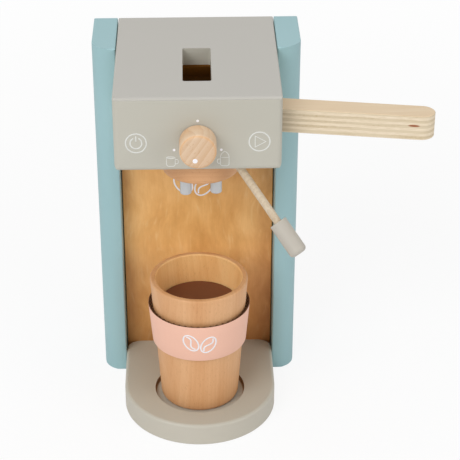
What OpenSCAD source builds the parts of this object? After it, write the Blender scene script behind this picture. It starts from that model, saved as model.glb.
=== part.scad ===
// Toy coffee maker: a painted head with a pod slot, selector knob and plywood lever, held
// between two side panels above a base plate, with a turned cup standing in its recess.
// Millimetres. X is to the right, Y to the back, Z up. The origin lies on the table, in the
// middle plane, in line with the front faces of the side panels.

/* [Body] */
// Overall height of the machine
machine_h = 234.4; // [200:0.1:300]
// Clear width between the side panels
inner_w = 98; // [82:1:120]
// Thickness of each side panel
panel_t = 15; // [12:0.5:20]
// Depth of the side panels
panel_depth = 50; // [42:1:60]
// Radius of the outer front corner of each side panel
panel_corner_r = 13; // [6:0.5:16]
// Radius of the softened panel edges
panel_edge_r = 1; // [0.5:0.1:2]

/* [Back panel] */
// Distance from the front of the side panels to the back panel
back_inset = 12.5; // [10:0.5:16]
// Thickness of the plywood back panel
back_t = 5; // [3:0.5:6]
// Gap between the back panel and each side panel
back_side_gap = 0.8; // [0.4:0.1:1.5]
// Width and depth of the battens that carry the back panel
cleat_w = 10; // [8:1:14]

/* [Base] */
// Thickness of the base plate
base_t = 15; // [12:1:20]
// Width of the base plate in front of the recess
base_margin = 14.5; // [10:0.25:24]
// Radius of the rear corners of the base plate
base_rear_r = 10; // [3:1:12]
// Radius of the top edge of the base plate
base_edge_r = 2; // [1:0.5:4]
// Space around the cup's foot in its recess
recess_gap = 4.25; // [1.5:0.25:6]
// Depth of the recess
recess_depth = 3; // [2:0.5:5]
// How far the cup stands in front of the axis of the disc above it
cup_ahead = 2.1; // [0:0.1:4]
// How far the cup stands behind the middle of its recess
cup_back = 1; // [0:0.1:1.2]

/* [Head] */
// Clear height between the bottom and top boards of the head
head_room = 21.8; // [19:0.1:34]
// How far the head reaches in front of the side panels
head_reach = 72.2; // [62:0.1:82]
// Gap between the head and each side panel
head_gap = 0.4; // [0:0.1:0.5]
// Thickness of the boards of the head
board_t = 12; // [10:0.5:15]
// Radius of the lower corners of the head
head_corner_r = 4; // [2:0.5:6]
// Radius of the soft front edges of the head
head_edge_r = 3; // [1:0.5:4]
// Radius of the top edges along the side panels
head_seam_r = 1; // [0.5:0.1:1.5]

/* [Pod slot] */
// Width of the pod slot
slot_w = 17; // [12:0.5:22]
// Length of the pod slot
slot_len = 48; // [38:1:50]
// Distance from the front of the head to the slot
slot_setback = 24.2; // [20:0.1:27]
// Corner radius of the slot
slot_r = 1.5; // [0.5:0.5:4]
// Width of the window in the rear board where pods come out
window_w = 48; // [30:1:60]
// Height of the window in the rear board
window_h = 16; // [10:0.5:18]

/* [Knob] */
// Diameter of the selector knob
knob_d = 21.5; // [18:0.5:25.5]
// Length of the knob
knob_len = 14.2; // [12:0.1:20]
// Height of the knob's axis above the head's bottom board
knob_rise = 6.9; // [5.4:0.1:10]
// Diameter of the knob's dowel
knob_shaft_d = 8; // [6:0.5:10]
// Depth of the dowel hole in the knob
knob_seat = 9; // [6:0.5:11]

/* [Lever] */
// Width of the plywood lever
lever_w = 15.4; // [12.5:0.1:19]
// Thickness of the plywood lever
lever_t = 15; // [12:0.5:18]
// Length of the lever from its pivot to its outer end
lever_out = 105; // [85:0.1:130]
// Length of the lever's inner arm, from its pivot
lever_in = 47; // [38:0.5:55]
// Angle of the lever forward of square, at rest
lever_rest = 9.2; // [0:0.1:14]
// Distance of the pivot inside the outer face of the head
lever_pivot_in = 15; // [12.5:0.5:20]
// Distance of the pivot behind the front of the head
lever_pivot_back = 28.9; // [27:0.1:38]
// Height of the lever above the head's bottom board
lever_rise = 3.1; // [1:0.1:3.6]
// Diameter of the pivot dowel
lever_pin_d = 8; // [6:0.5:9]
// Radius of the softened lever edges
lever_edge_r = 0.7; // [0.3:0.1:1.5]

/* [Brew head] */
// Diameter of the turned disc under the head
disc_d = 47.2; // [40:0.1:56]
// Thickness of the disc
disc_t = 13.5; // [12:0.1:17]
// Radius of the disc's lower edge
disc_edge_r = 2.4; // [1:0.1:4]
// Sideways offset of the disc's axis
disc_x = 1.8; // [-2:0.1:2.5]
// Distance of the disc's axis behind the front of the head
disc_back = 32.8; // [28:0.1:38]
// Diameter of each spout
spout_d = 7; // [6:0.5:9]
// Length of a spout below the disc
spout_len = 17; // [12:0.5:22]
// Distance between the two spouts
spout_pitch = 18.5; // [14:0.1:24]
// How far the row of spouts is turned at rest
spout_turn = 4; // [0:1:10]

/* [Steam wand] */
// Diameter of the wand's rod
wand_d = 4.7; // [4:0.1:6]
// Lean of the rod from upright
wand_lean = 45; // [35:1:50]
// How far the wand is swung to the front at rest
wand_turn = 37.5; // [0:0.5:60]
// Length of rod below the head
wand_len = 64.5; // [52:0.5:78]
// Diameter of the wand's tip
tip_d = 10.9; // [9:0.1:13]
// Length of the wand's tip
tip_len = 22.5; // [18:0.5:28]
// Diameter of the swivel plug
swivel_d = 12; // [10.5:0.5:14.5]
// Distance of the swivel's axis from the edge of the disc
swivel_space = 6.8; // [4.5:0.1:9]
// Wood left in front of the swivel's pocket
swivel_wall = 1.9; // [1.5:0.1:3]

/* [Cup] */
// Height of the cup
cup_h = 86.7; // [74:0.1:104]
// Outer diameter at the rim
cup_top_d = 61.6; // [52:0.2:74]
// Outer diameter at the foot
cup_foot_d = 49.5; // [40:0.5:59.5]
// Wall thickness at the rim
cup_wall = 3.8; // [2.6:0.1:4.6]
// Depth of the cup inside
cup_depth = 42; // [36:1:55]
// Depth of the coffee below the rim
coffee_drop = 18.5; // [12:0.5:24]

/* [Sleeve] */
// Height of the sleeve's lower edge above the cup's foot
sleeve_z = 42.6; // [36:0.2:50]
// Height of the sleeve
sleeve_h = 26; // [20:0.5:32]
// Thickness of the sleeve
sleeve_t = 0.6; // [0.5:0.1:1.2]
// Space between cup and sleeve at the lower edge
sleeve_gap_low = 1.5; // [0.8:0.1:1.8]
// Space between cup and sleeve at the upper edge
sleeve_gap_top = 2; // [1.8:0.1:3]
// Number of flutes in the liner
flutes = 48; // [36:2:60]

/* [Hidden] */
$fn = 48;

// Fits
glue_gap = 0.02;      // clearance all round a glued dowel
run_gap = 0.06;       // clearance all round a turning dowel
slide_gap = 0.4;      // gap between faces that move past each other
lift_gap = 0.4;       // clearance round a piece that lifts out
skim = 0.1;           // gap at a face that turns on a washer
eps = 0.01;           // overshoot of a bore
over = 1;             // overshoot of a cut

// Small hardware
web = 2;              // least wood between or behind holes
dowel_d = 6;          // joining dowels of the side panels
dowel_in = board_t - web;
dowel_out = panel_t - 5;
dowel_margin = 12;    // from the edges of a side panel to the dowels of the head
base_dowel_d = 8;     // dowels between base plate and crossbar
base_dowel_seat = 12;
base_dowel_x = inner_w / 2 - 21;
screw_d = 3;
screw_head_d = 6.5;
screw_head_h = 2.4;
screw_len = 20;
screw_gap = 0.05;     // clearance all round a screw
screw_margin = 12;    // from the lever's notch to the first screw
washer_t = 1;
knob_washer_d = knob_shaft_d + 2.5;
brew_washer_d = 16;

// Head
head_w = inner_w - 2 * head_gap;
head_h = head_room + 2 * board_t;
head_z = machine_h - head_h;
head_front = -head_reach;
floor_z = head_z + board_t;
ceiling_z = machine_h - board_t;
head_back = panel_depth;
cheek_in = inner_w / 2 - board_t;
slot_front = head_front + slot_setback;

// Lever
lever_x = inner_w / 2 - lever_pivot_in;
lever_y = head_front + lever_pivot_back;
lever_z = floor_z + lever_rise;
lever_top = lever_z + lever_t;
notch_back = lever_y + lever_w / 2 + slide_gap;
notch_front = head_front + board_t;
notch_h = lever_top + slide_gap - floor_z;
pin_seat = board_t / 2;
lever_ring_d = lever_w - 1;

// Knob
knob_z = floor_z + knob_rise;
knob_back = head_front - slide_gap;
shaft_end = notch_front + slide_gap;
shaft_screw_seat = 10;
knob_edge_r = 2.2;

// Brew head
disc_y = head_front + disc_back;
disc_top = head_z - washer_t - skim;
disc_z = disc_top - disc_t;
brew_pin_d = 8;
spout_seat = 5;
brew_pin_seat = disc_t - spout_seat - web;
pocket_h = 4;         // pocket in the head's floor for the head of a turning pin
pocket_z = floor_z - pocket_h;
pin_head_d = 13.5;
pin_head_h = pocket_h - 2 * slide_gap;

// Steam wand
flange_d = swivel_d + 3;
swivel_y = head_front + swivel_wall + slide_gap + flange_d / 2;
swivel_z = head_z + slide_gap / 2;
swivel_x = disc_x + sqrt(pow(disc_d / 2 + swivel_space, 2) - pow(disc_y - swivel_y, 2));
wand_entry = 1.5;     // where the rod leaves the plug, outward from the plug's axis
wand_sunk = 7;        // length of rod inside the plug
tip_seat = 12;        // length of rod inside the tip
tip_edge_r = 2.6;

// Cup and base
cup_y = disc_y - cup_ahead;
recess_d = cup_foot_d + 2 * recess_gap;
base_r = inner_w / 2;
recess_y = cup_y - cup_back;
base_y = recess_y - recess_d / 2 - base_margin + base_r;
cup_z = base_t - recess_depth;
cup_foot_r = cup_foot_d / 2;
cup_top_r = cup_top_d / 2;
cup_taper = (cup_top_r - cup_foot_r) / cup_h;
foot_edge_r = 2.5;
rim_edge_r = 1.2;
coffee_z = cup_h - coffee_drop;
bore_z = cup_h - cup_depth;
function cup_radius(z) = cup_foot_r + cup_taper * z;
function bore_radius(z) = cup_radius(z) - cup_wall;

// ---------- shapes that repeat ----------

// Rectangle with one radius on its lower corners and one on its upper corners
module round_rect(w, h, low_r, high_r) {
    r = max(low_r, high_r);
    translate([r, 0]) square([w - 2 * r, h]);
    translate([0, low_r]) square([w, h - low_r - high_r]);
    translate([low_r, 0]) square([w - 2 * low_r, h / 2]);
    translate([high_r, h / 2]) square([w - 2 * high_r, h / 2]);
    for (x = [low_r, w - low_r]) translate([x, low_r]) circle(r = low_r);
    for (x = [high_r, w - high_r]) translate([x, h - high_r]) circle(r = high_r);
}

// Box with all its edges softened
module soft_box(size, r) {
    intersection() {
        linear_extrude(size.z) round_rect(size.x, size.y, r, r);
        translate([0, size.y, 0]) rotate([90, 0, 0])
            linear_extrude(size.y) round_rect(size.x, size.z, r, r);
        rotate([90, 0, 90]) linear_extrude(size.x) round_rect(size.y, size.z, r, r);
    }
}

// Turned cylinder standing on z = 0, with its lower and upper edges rounded
module turned(d, h, low_r, high_r) {
    rotate_extrude() intersection() {
        translate([-d / 2, 0]) round_rect(d, h, low_r, high_r);
        square([d, h]);
    }
}

// Bore with a named clearance, along Z
module bore(d, h, gap) {
    translate([0, 0, -eps]) cylinder(d = d + 2 * gap, h = h + 2 * eps);
}

// Countersunk screw with its head at the bottom, pointing up
module screw(len) {
    cylinder(d1 = screw_head_d, d2 = screw_d, h = screw_head_h);
    cylinder(d = screw_d, h = len);
}

// ---------- body ----------

dowel_z = (floor_z + ceiling_z) / 2;
panel_dowel_spots = [[dowel_margin, dowel_z], [panel_depth - dowel_margin, dowel_z],
                     [(back_inset + back_t + panel_depth) / 2, base_t / 2]];

module at_panel_dowels() {
    for (s = panel_dowel_spots) translate([inner_w / 2 - dowel_in, s.x, s.y])
        rotate([0, 90, 0]) children();
}

module panel_dowel_holes() {
    at_panel_dowels() bore(dowel_d, dowel_in + dowel_out, glue_gap);
}

// Right-hand panel; the left one is its mirror image
module side_panel() {
    r = min(panel_corner_r, panel_t - panel_edge_r);
    x0 = inner_w / 2;
    difference() {
        intersection() {
            translate([x0, 0, 0]) linear_extrude(machine_h) {
                square([panel_t - r, panel_depth]);
                translate([0, r]) square([panel_t, panel_depth - r]);
                translate([panel_t - r, r]) circle(r = r);
            }
            translate([x0, 0, 0]) soft_box([panel_t, panel_depth, machine_h], panel_edge_r);
        }
        panel_dowel_holes();
    }
}

module left_side_panel() {
    color("#9fc0c2") mirror([1, 0, 0]) side_panel();
}

module right_side_panel() {
    color("#9fc0c2") side_panel();
}

module back_panel() {
    w = inner_w - 2 * back_side_gap;
    color("#d6a060") difference() {
        translate([-w / 2, back_inset, 0]) cube([w, back_t, head_z]);
        base_dowel_holes();
    }
}

module rear_crossbar() {
    y = back_inset + back_t;
    color("#d8b98a") difference() {
        translate([-inner_w / 2, y, 0]) cube([inner_w, panel_depth - y, base_t]);
        for (side = [0, 1]) mirror([side, 0, 0]) panel_dowel_holes();
        base_dowel_holes();
    }
}

// Batten in the corner behind the back panel
module cleat() {
    translate([inner_w / 2 - cleat_w, back_inset + back_t, base_t])
        cube([cleat_w, cleat_w, head_z - base_t]);
}

module left_cleat() {
    color("#d8b98a") mirror([1, 0, 0]) cleat();
}

module right_cleat() {
    color("#d8b98a") cleat();
}

module base_plate() {
    depth = back_inset - base_y;
    color("#bdb5a8") difference() {
        union() {
            intersection() {
                translate([0, base_y, 0]) turned(2 * base_r, base_t, panel_edge_r, base_edge_r);
                translate([-base_r, base_y - base_r, 0]) cube([2 * base_r, base_r + over, base_t]);
            }
            intersection() {
                translate([-base_r, back_inset, 0]) rotate([90, 0, 0])
                    linear_extrude(depth) round_rect(2 * base_r, base_t, panel_edge_r, base_edge_r);
                translate([-base_r, base_y - base_rear_r, 0])
                    linear_extrude(base_t) round_rect(2 * base_r, depth + base_rear_r, eps, base_rear_r);
            }
        }
        translate([0, recess_y, cup_z]) cylinder(d = recess_d, h = base_t);
        base_dowel_holes();
    }
}

base_dowel_start = back_inset - base_dowel_seat;
base_dowel_len = 2 * base_dowel_seat + back_t;

module base_dowel_holes() {
    for (side = [-1, 1]) translate([side * base_dowel_x, base_dowel_start, base_t / 2])
        rotate([-90, 0, 0]) bore(base_dowel_d, base_dowel_len, glue_gap);
}

module base_dowels() {
    color("#e0c79c") for (side = [-1, 1])
        translate([side * base_dowel_x, base_dowel_start, base_t / 2])
            rotate([-90, 0, 0]) cylinder(d = base_dowel_d, h = base_dowel_len);
}

module panel_dowels() {
    color("#e0c79c") for (side = [0, 1]) mirror([side, 0, 0])
        at_panel_dowels() cylinder(d = dowel_d, h = dowel_in + dowel_out);
}

// ---------- head ----------

// Outer form of the whole head, from which each board is cut
module head_form() {
    depth = head_reach + head_back;
    intersection() {
        translate([-head_w / 2, head_front, head_z]) linear_extrude(head_h)
            round_rect(head_w, depth, head_edge_r, head_seam_r);
        translate([-head_w / 2, head_back, head_z]) rotate([90, 0, 0])
            linear_extrude(depth) round_rect(head_w, head_h, head_corner_r, head_seam_r);
        translate([-head_w / 2, head_front, head_z]) rotate([90, 0, 90])
            linear_extrude(head_w) side_outline(depth);
    }
}

// Head seen from the side: soft front edges, small radii at the back
module side_outline(depth) {
    r = head_edge_r;
    s = head_seam_r;
    translate([r, 0]) square([depth - r - s, head_h]);
    translate([0, r]) square([depth, head_h - r - s]);
    for (z = [r, head_h - r]) translate([r, z]) circle(r = r);
    for (z = [s, head_h - s]) translate([depth - s, z]) circle(r = s);
}

module head_slab(from, to) {
    intersection() {
        head_form();
        translate(from) cube(to - from);
    }
}

module head_top_board() {
    color("#bfbab0") difference() {
        head_slab([-inner_w, notch_front, ceiling_z], [inner_w, head_back, machine_h]);
        translate([-slot_w / 2, slot_front, ceiling_z - eps]) linear_extrude(board_t + over)
            round_rect(slot_w, slot_len, slot_r, slot_r);
        translate([lever_x, lever_y, ceiling_z]) bore(lever_pin_d, pin_seat, glue_gap);
    }
}

module head_front_board() {
    color("#c1bdb2") difference() {
        head_slab([-inner_w, head_front, floor_z], [inner_w, notch_front, machine_h]);
        translate([0, head_front, knob_z]) rotate([-90, 0, 0]) bore(knob_shaft_d, board_t, run_gap);
    }
}

module head_bottom_board() {
    color("#bfbab0") difference() {
        head_slab([-inner_w, head_front, head_z], [inner_w, head_back, floor_z]);
        translate([disc_x, disc_y, head_z]) bore(brew_pin_d, board_t, run_gap);
        translate([disc_x, disc_y, pocket_z]) cylinder(d = pin_head_d + 2 * slide_gap, h = board_t);
        translate([swivel_x, swivel_y, head_z]) bore(swivel_d, board_t, run_gap);
        translate([swivel_x, swivel_y, pocket_z]) cylinder(d = flange_d + 2 * slide_gap, h = board_t);
        translate([lever_x, lever_y, floor_z - pin_seat]) bore(lever_pin_d, board_t, glue_gap);
        head_screw_spots() screw_hole(board_t);
    }
}

// Right-hand cheek without its lever notch
module cheek() {
    difference() {
        head_slab([cheek_in, notch_front, floor_z], [inner_w, head_back, ceiling_z]);
        panel_dowel_holes();
        head_screw_spots() screw_hole(screw_len);
    }
}

module head_left_cheek() {
    color("#bfbab0") mirror([1, 0, 0]) cheek();
}

module head_right_cheek() {
    color("#bfbab0") difference() {
        cheek();
        translate([cheek_in - over, notch_front - over, floor_z - over])
            cube([board_t + 2 * over, notch_back - notch_front + over, notch_h + over]);
        translate([lever_x, lever_y, floor_z - over])
            cylinder(d = lever_ring_d + 2 * slide_gap, h = ceiling_z - floor_z + 2 * over);
    }
}

module head_rear_board() {
    color("#a98a63") difference() {
        translate([-cheek_in, head_back - board_t, floor_z])
            cube([2 * cheek_in, board_t, ceiling_z - floor_z]);
        translate([-window_w / 2, head_back - board_t - over, floor_z - over])
            cube([window_w, board_t + 2 * over, window_h + over]);
    }
}

// One screw behind the lever's notch, one between the two dowels
head_screw_y = [notch_back + screw_margin, panel_depth / 2];

module head_screw_spots() {
    for (side = [-1, 1], y = head_screw_y)
        translate([side * (inner_w / 2 - board_t / 2), y, head_z]) children();
}

module screw_hole(len) {
    translate([0, 0, -eps])
        cylinder(d1 = screw_head_d + 2 * screw_gap, d2 = screw_d + 2 * screw_gap, h = screw_head_h);
    cylinder(d = screw_d + 2 * screw_gap, h = len + eps);
}

module head_screws() {
    color("#b9bcc0") head_screw_spots() screw(screw_len);
}

// ---------- knob ----------

module along_knob(y) {
    translate([0, y, knob_z]) rotate([90, 0, 0]) children();
}

module knob() {
    color("#e4be96") along_knob(knob_back) difference() {
        turned(knob_d, knob_len, 0.6, knob_edge_r);
        bore(knob_shaft_d, knob_seat, glue_gap);
    }
}

module knob_shaft() {
    color("#dcb98c") along_knob(shaft_end) difference() {
        cylinder(d = knob_shaft_d, h = shaft_end - knob_back + knob_seat);
        bore(screw_d, shaft_screw_seat, glue_gap);
    }
}

module knob_washer() {
    color("#b9bcc0") along_knob(shaft_end + washer_t) difference() {
        cylinder(d = knob_washer_d, h = washer_t);
        bore(screw_d, washer_t, glue_gap);
    }
}

module knob_screw() {
    color("#b9bcc0") along_knob(shaft_end + washer_t + screw_head_h) {
        turned(screw_head_d, screw_head_h, 0.8, 0.1);
        cylinder(d = screw_d, h = screw_head_h + washer_t + shaft_screw_seat - eps);
    }
}

// ---------- lever ----------

// Places its children in the lever's own frame: pivot at the origin, outer arm along X
module at_lever() {
    translate([lever_x, lever_y, lever_z]) rotate([0, 0, -lever_rest]) children();
}

module lever() {
    end = lever_out - lever_w / 2;
    inner = lever_in - lever_w / 2;
    color("#e0c9a0") at_lever() difference() {
        union() {
            translate([-inner, -lever_w / 2, 0]) rotate([90, 0, 90])
                linear_extrude(end + inner) round_rect(lever_w, lever_t, lever_edge_r, lever_edge_r);
            for (x = [-inner, end]) translate([x, 0, 0])
                turned(lever_w, lever_t, lever_edge_r, lever_edge_r);
        }
        bore(lever_pin_d, lever_t, run_gap);
    }
}

module lever_pin() {
    color("#e0c79c") translate([lever_x, lever_y, floor_z - pin_seat])
        cylinder(d = lever_pin_d, h = ceiling_z - floor_z + 2 * pin_seat);
}

module lever_ring(z, h) {
    translate([lever_x, lever_y, z]) difference() {
        cylinder(d = lever_ring_d, h = h);
        bore(lever_pin_d, h, glue_gap);
    }
}

module lever_washer() {
    color("#8a5a36") lever_ring(floor_z, lever_rise - skim);
}

module lever_spacer() {
    z = lever_top + skim;
    color("#e0c79c") lever_ring(z, ceiling_z - z);
}

// ---------- brew head ----------

module brew_disc() {
    color("#cd9669") translate([disc_x, disc_y, disc_z]) difference() {
        turned(disc_d, disc_t, disc_edge_r, 0.8);
        translate([0, 0, disc_t - brew_pin_seat]) bore(brew_pin_d, brew_pin_seat, glue_gap);
        spout_spots() bore(spout_d, spout_seat, glue_gap);
    }
}

module spout_spots() {
    rotate([0, 0, spout_turn]) for (side = [-1, 1])
        translate([side * spout_pitch / 2, 0, 0]) children();
}

module spout(side) {
    color("#b4bac2") translate([disc_x, disc_y, disc_z - spout_len])
        rotate([0, 0, spout_turn]) translate([side * spout_pitch / 2, 0, 0])
            turned(spout_d, spout_len + spout_seat, 0.8, 0.3);
}

module left_spout() {
    spout(-1);
}

module right_spout() {
    spout(1);
}

module brew_pin() {
    start = disc_top - brew_pin_seat;
    color("#dcb98c") translate([disc_x, disc_y, 0]) {
        translate([0, 0, start]) cylinder(d = brew_pin_d, h = pocket_z + slide_gap - start);
        translate([0, 0, pocket_z + slide_gap]) cylinder(d = pin_head_d, h = pin_head_h);
    }
}

module brew_washer() {
    color("#8a5a36") translate([disc_x, disc_y, head_z - washer_t]) difference() {
        cylinder(d = brew_washer_d, h = washer_t);
        bore(brew_pin_d, washer_t, run_gap);
    }
}

// ---------- steam wand ----------

// Places its children on the rod: origin where it leaves the head, Z pointing down the rod
module at_wand() {
    translate([swivel_x, swivel_y, head_z]) rotate([0, 0, -wand_turn])
        translate([wand_entry, 0, 0]) rotate([0, 180 - wand_lean, 0]) children();
}

module wand_swivel() {
    color("#c0bcb0") difference() {
        translate([swivel_x, swivel_y, 0]) {
            translate([0, 0, swivel_z]) cylinder(d = swivel_d, h = pocket_z + slide_gap - swivel_z);
            translate([0, 0, pocket_z + slide_gap]) cylinder(d = flange_d, h = pin_head_h);
        }
        at_wand() translate([0, 0, -wand_sunk]) bore(wand_d, 2 * wand_sunk, glue_gap);
    }
}

module wand_rod() {
    color("#e6c8a0") at_wand() translate([0, 0, -wand_sunk])
        turned(wand_d, wand_sunk + wand_len - tip_len + tip_seat, 0.4, 0.4);
}

module wand_tip() {
    color("#b9b2a4") at_wand() translate([0, 0, wand_len - tip_len]) difference() {
        turned(tip_d, tip_len, 0.5, tip_edge_r);
        bore(wand_d, tip_seat, glue_gap);
    }
}

// ---------- cup ----------

module at_cup(z) {
    translate([0, cup_y, cup_z + z]) children();
}

module cup_body() {
    foot = foot_edge_r;
    rim = rim_edge_r;
    outer = cup_radius(cup_h - rim);
    inner = bore_radius(cup_h - rim);
    color("#d8a475") at_cup(0) rotate_extrude($fn = 96) {
        polygon([[0, 0], [cup_foot_r - foot, 0], [cup_radius(foot), foot],
                 [outer, cup_h - rim], [outer - rim, cup_h], [inner + rim, cup_h],
                 [inner, cup_h - rim], [bore_radius(bore_z), bore_z], [0, bore_z]]);
        translate([cup_foot_r - foot, foot]) circle(r = foot);
        for (x = [inner + rim, outer - rim]) translate([x, cup_h - rim]) circle(r = rim);
    }
}

module coffee_insert() {
    low = bore_radius(bore_z) - lift_gap;
    high = bore_radius(coffee_z) - lift_gap;
    color("#693a23") at_cup(bore_z) rotate_extrude($fn = 96)
        polygon([[0, 0], [low - 1, 0], [low, 1], [high, coffee_z - bore_z - 1],
                 [high - 1, coffee_z - bore_z], [0, coffee_z - bore_z]]);
}

sleeve_low_r = cup_radius(sleeve_z) + sleeve_gap_low;
sleeve_top_r = cup_radius(sleeve_z + sleeve_h) + sleeve_gap_top;

module cup_sleeve() {
    color("#f0baa8") at_cup(sleeve_z) rotate_extrude($fn = 96)
        polygon([[sleeve_low_r, 0], [sleeve_low_r + sleeve_t, 0],
                 [sleeve_top_r + sleeve_t, sleeve_h], [sleeve_top_r, sleeve_h]]);
}

// Corrugated liner: a cone of card with half-round flutes pressed into its inner face
module sleeve_liner() {
    skin = 0.4;
    flute_sides = 8;
    clear = 0.3;
    inset = 0.6;
    low = sleeve_low_r - glue_gap;
    top = sleeve_top_r - glue_gap;
    thick_low = sleeve_gap_low - clear;
    thick_top = sleeve_gap_top - clear;
    lean = atan((top - low) / sleeve_h);
    pitch = 2 * PI * low / flutes;
    flute_d = min(2 * (thick_top - skin), 0.95 * pitch);
    color("#6b4a2e") at_cup(sleeve_z + inset) difference() {
        rotate_extrude($fn = 288)
            polygon([[low - thick_low, 0], [low, 0], [top - 0.1, sleeve_h - 2 * inset],
                     [top - thick_top, sleeve_h - 2 * inset]]);
        for (i = [0 : flutes - 1]) rotate([0, 0, i * 360 / flutes])
            translate([low - skin - flute_d / 2, 0, 0]) rotate([0, lean, 0])
                translate([0, 0, -2]) cylinder(d = flute_d, h = sleeve_h + 6, $fn = flute_sides);
    }
}

left_side_panel();
right_side_panel();
back_panel();
rear_crossbar();
left_cleat();
right_cleat();
base_plate();
base_dowels();
panel_dowels();
head_top_board();
head_front_board();
head_bottom_board();
head_left_cheek();
head_right_cheek();
head_rear_board();
head_screws();
knob();
knob_shaft();
knob_washer();
knob_screw();
lever();
lever_pin();
lever_washer();
lever_spacer();
brew_disc();
left_spout();
right_spout();
brew_pin();
brew_washer();
wand_swivel();
wand_rod();
wand_tip();
cup_body();
coffee_insert();
cup_sleeve();
sleeve_liner();
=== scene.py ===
# %% [markdown]
# # A wooden toy coffee maker
#
# The toy is a small piece of joinery: two painted side panels hold a painted head, a plywood
# back and a base plate, and a turned cup stands in the base. The joiner's model is already
# there, at its real size. This lesson gives every piece its finish, and makes what a joiner
# leaves to others: the card sleeve round the cup and the signs printed on the head.

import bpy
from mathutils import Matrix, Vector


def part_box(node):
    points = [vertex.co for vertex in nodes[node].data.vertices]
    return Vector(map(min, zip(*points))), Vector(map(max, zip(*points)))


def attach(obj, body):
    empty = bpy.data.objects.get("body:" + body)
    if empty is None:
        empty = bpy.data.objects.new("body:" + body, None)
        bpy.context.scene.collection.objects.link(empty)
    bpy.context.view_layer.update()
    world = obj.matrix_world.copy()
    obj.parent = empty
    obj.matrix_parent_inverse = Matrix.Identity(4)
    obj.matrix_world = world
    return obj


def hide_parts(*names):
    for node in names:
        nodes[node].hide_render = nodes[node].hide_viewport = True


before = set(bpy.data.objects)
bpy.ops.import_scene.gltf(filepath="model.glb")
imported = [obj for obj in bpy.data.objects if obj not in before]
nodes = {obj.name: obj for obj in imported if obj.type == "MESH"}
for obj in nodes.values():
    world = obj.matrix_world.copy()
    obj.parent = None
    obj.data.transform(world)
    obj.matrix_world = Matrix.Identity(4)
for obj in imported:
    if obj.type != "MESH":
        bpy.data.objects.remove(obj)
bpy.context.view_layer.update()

# %% [markdown]
# ## Units and three small helpers
#
# Blender counts in metres and a joiner in millimetres, so lengths are written in millimetres
# and multiplied by MM. A colour is written as the hex value that a painter would note down.
# Blender mixes light in linear values, so one function turns the hex value round. Another adds
# a node to a material, with its settings and its links, and that is all a material needs.

# %% Units and helpers
import math

import bmesh
import bpy
from mathutils import Matrix, Vector

MM = 0.001
WHITE = (1, 1, 1, 1)
FACTOR, FIRST, SECOND, RESULT = 0, 6, 7, 2  # sockets of a Mix node that mixes colours


def colour(hex_code):
    """A hex colour as linear red, green, blue and alpha."""
    parts = [int(hex_code[i:i + 2], 16) / 255 for i in (1, 3, 5)]
    linear = [c / 12.92 if c <= 0.04045 else ((c + 0.055) / 1.055) ** 2.4 for c in parts]
    return (*linear, 1.0)


def add(tree, kind, inputs=(), stops=(), **settings):
    """Adds one node, sets it up, and fills its inputs with values or with other nodes' outputs."""
    node = tree.nodes.new("ShaderNode" + kind)
    for name, value in settings.items():
        setattr(node, name, value)
    for name, value in dict(inputs).items():
        if isinstance(value, bpy.types.NodeSocket):
            tree.links.new(value, node.inputs[name])
        else:
            node.inputs[name].default_value = value
    for i, (place, tone) in enumerate(stops):
        stop = node.color_ramp.elements[i] if i < 2 else node.color_ramp.elements.new(place)
        stop.position = place
        stop.color = tone
    return node


def new_material(name):
    """An empty node tree in a new material."""
    material = bpy.data.materials.new(name)
    material.use_nodes = True
    material.node_tree.nodes.clear()
    print("new material:", name)
    return material, material.node_tree


print("mid grey in linear light:", round(colour("#808080")[0], 3))

# %% [markdown]
# ## Camera
#
# The toy is seen from above, as by someone standing at the table. The camera stands 90 cm in
# front and 62 cm above the table, and looks down by 32 degrees. A long lens keeps the upright
# edges nearly parallel. The camera's three axes are worked out from its turn and tilt, because
# that is easier to read than a rotation in three angles. The toy stands a little right of and
# above where the camera points, as in a picture that was cut from a larger one. Blender gives
# this as a shift of the lens, in shares of the picture's width.

# %% Camera
EYE = Vector((-3.9, -902.2, 618.4)) * MM
LOOK_DOWN = math.radians(31.984)
LOOK_RIGHT = math.radians(0.299)
ROLL = math.radians(-0.524)
LENS = 125.486
FRAME = 460  # pixels, the picture's width
SHIFT = (30 / FRAME, 70 / FRAME)

ahead = Vector((math.sin(LOOK_RIGHT) * math.cos(LOOK_DOWN),
                math.cos(LOOK_RIGHT) * math.cos(LOOK_DOWN),
                -math.sin(LOOK_DOWN)))
level = Vector((math.cos(LOOK_RIGHT), -math.sin(LOOK_RIGHT), 0))
upright = level.cross(ahead)
right = level * math.cos(ROLL) + upright * math.sin(ROLL)
up = upright * math.cos(ROLL) - level * math.sin(ROLL)

camera = bpy.data.objects.new("camera", bpy.data.cameras.new("camera"))
bpy.context.scene.collection.objects.link(camera)
camera.data.lens = LENS
camera.data.shift_x, camera.data.shift_y = SHIFT
camera.data.clip_end = 20
camera.matrix_world = Matrix.Translation(EYE) @ Matrix((right, up, -ahead)).transposed().to_4x4()
bpy.context.scene.camera = camera
print("camera looks down by", round(math.degrees(LOOK_DOWN), 1), "degrees")

# %% [markdown]
# ## Light
#
# A product table has one big soft box on the left, a weaker one on the right, one above, and
# white walls all round. The world plays the walls. It is plain white to the eye and to glossy
# surfaces, and a weaker white for what it lights, so that the bay under the head stays darker
# than its front. Each lamp's power follows from its distance, as light falls off with the
# square of it.

# %% Lamps and world
AIM = Vector((0, 0, 110)) * MM
FULL_LIGHT = math.pi ** 2  # watts at one metre that show a white sheet as white
WALL_LIGHT = 0.46  # share of full white that the walls give to what they light


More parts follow.
